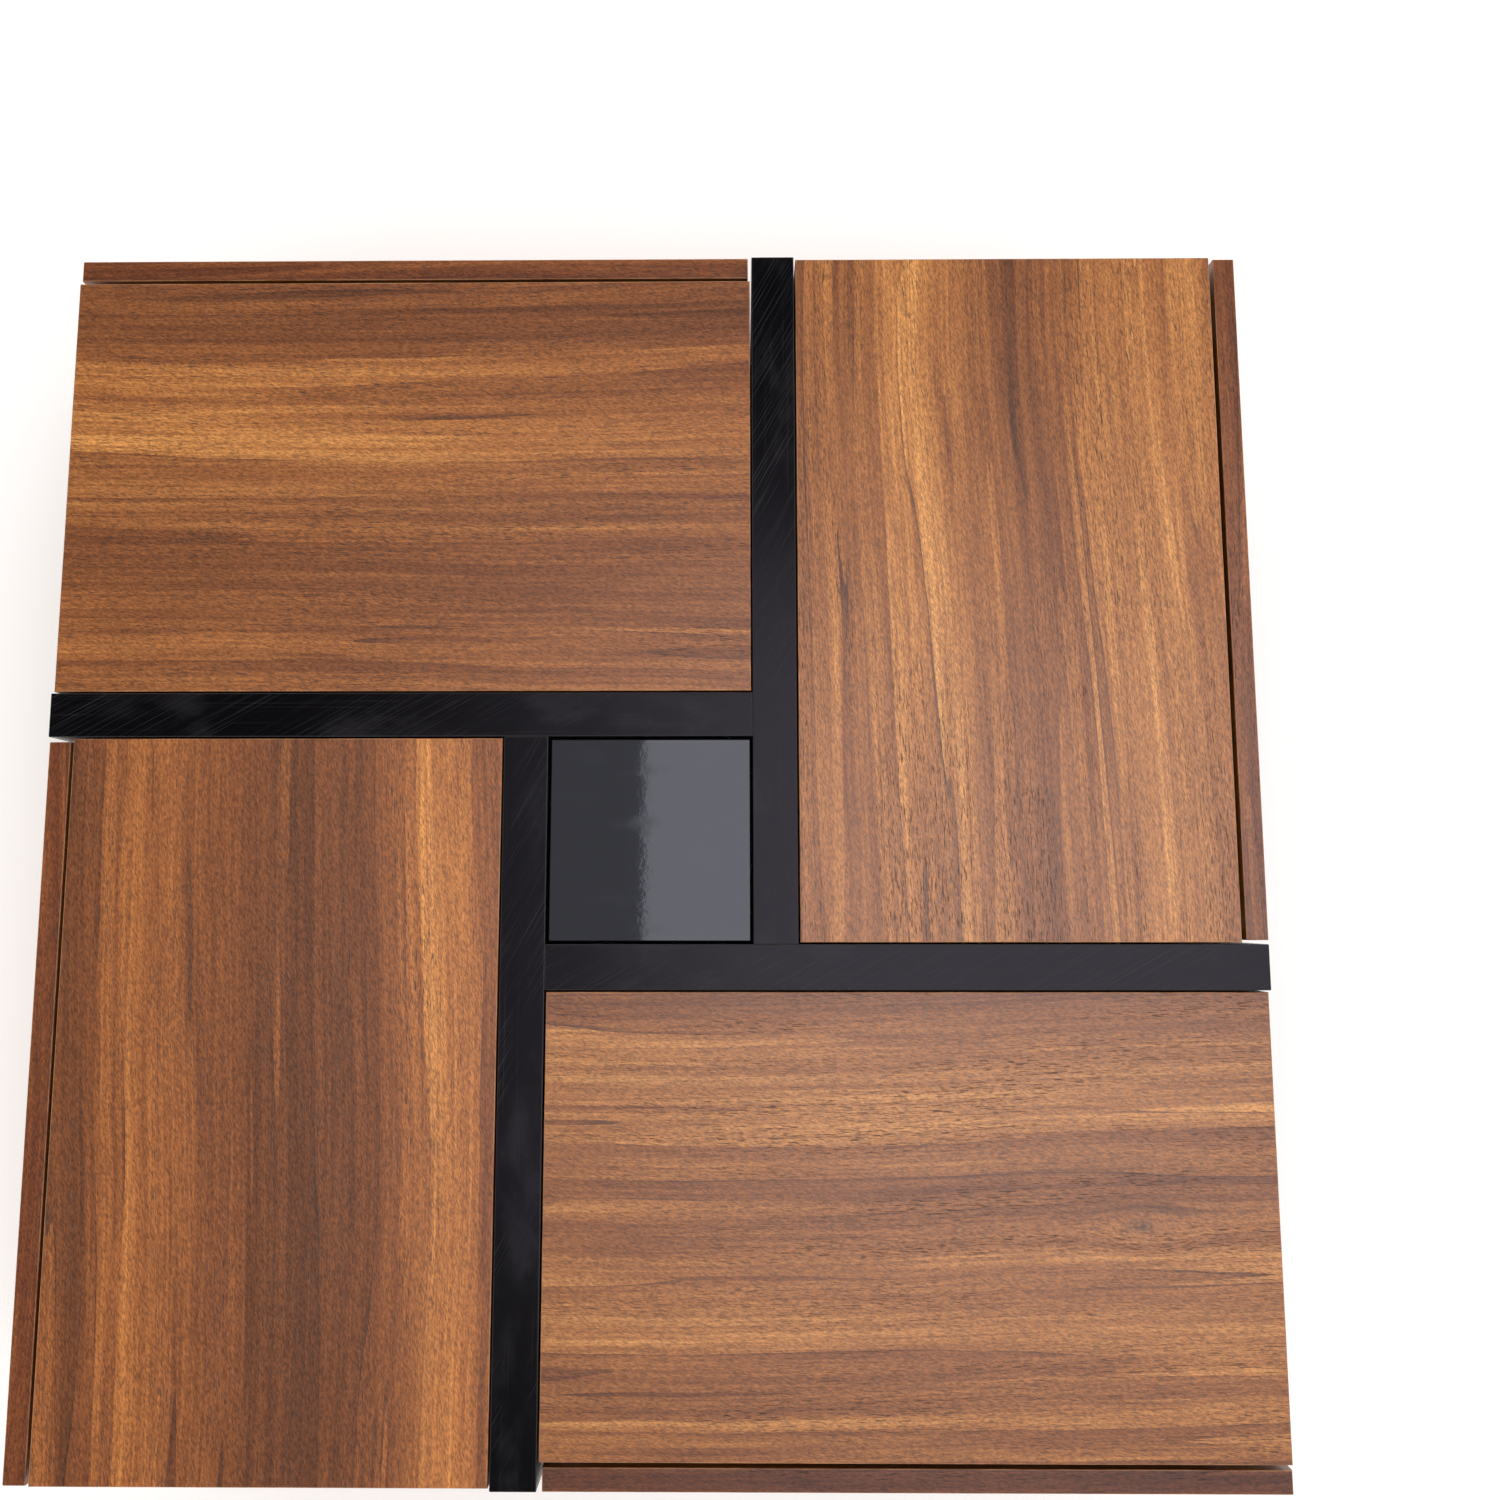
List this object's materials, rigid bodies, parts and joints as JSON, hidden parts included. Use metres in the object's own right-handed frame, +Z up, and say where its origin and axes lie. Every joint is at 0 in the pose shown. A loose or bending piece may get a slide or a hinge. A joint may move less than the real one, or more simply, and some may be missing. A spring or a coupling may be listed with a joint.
{
  "type": "low storage table",
  "caption": "Square low table of walnut-faced drawer modules set as a pinwheel between thick black dividers, with a dark glass centre; every side has a push-to-open drawer.",
  "frame": {"origin": "on the floor under the middle of the table", "axes": "+Z up; +Y towards the far side of the pictured view, where the far drawer opens; +X to the right of that view, where the right drawer opens"},
  "size_m": [1.007, 1.007, 0.38],
  "materials": {
    "black_lacquer": "satin black lacquer",
    "walnut_laminate": "walnut-pattern laminate, satin, with matching edge band",
    "walnut_front": "walnut-pattern laminate, satin, with matching edge band",
    "drawer_board": "off-white melamine-faced board, fine texture",
    "drawer_bottom_board": "off-white faced hardboard",
    "zinc_steel": "bright zinc plate",
    "screw_steel": "yellow-grey zinc plate",
    "grey_plastic": "fine-textured moulded plastic",
    "dark_plastic": "moulded plastic",
    "clear_pad": "clear soft bumper",
    "dark_glass": "polished black-backed glass"
  },
  "bodies": {
    "carcass": {"far_divider": "black_lacquer", "far_top_panel": "walnut_laminate", "far_end_panel": "walnut_laminate", "far_bottom_panel": "walnut_laminate", "far_outer_runners": "zinc_steel", "right_divider": "black_lacquer", "right_top_panel": "walnut_laminate", "right_end_panel": "walnut_laminate", "right_bottom_panel": "walnut_laminate", "right_outer_runners": "zinc_steel", "near_divider": "black_lacquer", "near_top_panel": "walnut_laminate", "near_end_panel": "walnut_laminate", "near_bottom_panel": "walnut_laminate", "near_outer_runners": "zinc_steel", "left_divider": "black_lacquer", "left_top_panel": "walnut_laminate", "left_end_panel": "walnut_laminate", "left_bottom_panel": "walnut_laminate", "left_outer_runners": "zinc_steel", "centre_glass": "dark_glass", "latch_housings": "grey_plastic", "divider_screws": "screw_steel", "corner_blocks": "dark_plastic", "glass_pads": "clear_pad", "floor_glides": "dark_plastic"},
    "far_drawer": {"far_drawer_front": "walnut_front", "far_drawer_left_side": "drawer_board", "far_drawer_right_side": "drawer_board", "far_drawer_back": "drawer_board", "far_drawer_bottom": "drawer_bottom_board", "far_inner_runners": "zinc_steel"},
    "far_runner_middles": {"far_middle_runners": "zinc_steel"},
    "far_plunger": {"far_latch_plunger": "grey_plastic"},
    "right_drawer": {"right_drawer_front": "walnut_front", "right_drawer_left_side": "drawer_board", "right_drawer_right_side": "drawer_board", "right_drawer_back": "drawer_board", "right_drawer_bottom": "drawer_bottom_board", "right_inner_runners": "zinc_steel"},
    "right_runner_middles": {"right_middle_runners": "zinc_steel"},
    "right_plunger": {"right_latch_plunger": "grey_plastic"},
    "near_drawer": {"near_drawer_front": "walnut_front", "near_drawer_left_side": "drawer_board", "near_drawer_right_side": "drawer_board", "near_drawer_back": "drawer_board", "near_drawer_bottom": "drawer_bottom_board", "near_inner_runners": "zinc_steel"},
    "near_runner_middles": {"near_middle_runners": "zinc_steel"},
    "near_plunger": {"near_latch_plunger": "grey_plastic"},
    "left_drawer": {"left_drawer_front": "walnut_front", "left_drawer_left_side": "drawer_board", "left_drawer_right_side": "drawer_board", "left_drawer_back": "drawer_board", "left_drawer_bottom": "drawer_bottom_board", "left_inner_runners": "zinc_steel"},
    "left_runner_middles": {"left_middle_runners": "zinc_steel"},
    "left_plunger": {"left_latch_plunger": "grey_plastic"}
  },
  "joints": [
    {"name": "far_drawer_slide", "type": "slide", "parent": "carcass", "child": "far_drawer", "axis": [0, 1, 0], "range_m": [0, 0.28]},
    {"name": "far_runner_slide", "type": "slide", "parent": "carcass", "child": "far_runner_middles", "axis": [0, 1, 0], "range_m": [0, 0.14]},
    {"name": "far_latch_press", "type": "slide", "parent": "carcass", "child": "far_plunger", "axis": [0, 1, 0], "range_m": [-0.003, 0], "stiffness_N_per_m": 800, "springref_m": 0.001},
    {"name": "right_drawer_slide", "type": "slide", "parent": "carcass", "child": "right_drawer", "axis": [1, 0, 0], "range_m": [0, 0.28]},
    {"name": "right_runner_slide", "type": "slide", "parent": "carcass", "child": "right_runner_middles", "axis": [1, 0, 0], "range_m": [0, 0.14]},
    {"name": "right_latch_press", "type": "slide", "parent": "carcass", "child": "right_plunger", "axis": [1, 0, 0], "range_m": [-0.003, 0], "stiffness_N_per_m": 800, "springref_m": 0.001},
    {"name": "near_drawer_slide", "type": "slide", "parent": "carcass", "child": "near_drawer", "axis": [0, -1, 0], "range_m": [0, 0.28]},
    {"name": "near_runner_slide", "type": "slide", "parent": "carcass", "child": "near_runner_middles", "axis": [0, -1, 0], "range_m": [0, 0.14]},
    {"name": "near_latch_press", "type": "slide", "parent": "carcass", "child": "near_plunger", "axis": [0, -1, 0], "range_m": [-0.003, 0], "stiffness_N_per_m": 800, "springref_m": 0.001},
    {"name": "left_drawer_slide", "type": "slide", "parent": "carcass", "child": "left_drawer", "axis": [-1, 0, 0], "range_m": [0, 0.28]},
    {"name": "left_runner_slide", "type": "slide", "parent": "carcass", "child": "left_runner_middles", "axis": [-1, 0, 0], "range_m": [0, 0.14]},
    {"name": "left_latch_press", "type": "slide", "parent": "carcass", "child": "left_plunger", "axis": [-1, 0, 0], "range_m": [-0.003, 0], "stiffness_N_per_m": 800, "springref_m": 0.001}
  ],
  "couplings": [
    {"joint": "far_runner_slide", "follows": "far_drawer_slide", "ratio": 0.5},
    {"joint": "right_runner_slide", "follows": "right_drawer_slide", "ratio": 0.5},
    {"joint": "near_runner_slide", "follows": "near_drawer_slide", "ratio": 0.5},
    {"joint": "left_runner_slide", "follows": "left_drawer_slide", "ratio": 0.5}
  ]
}
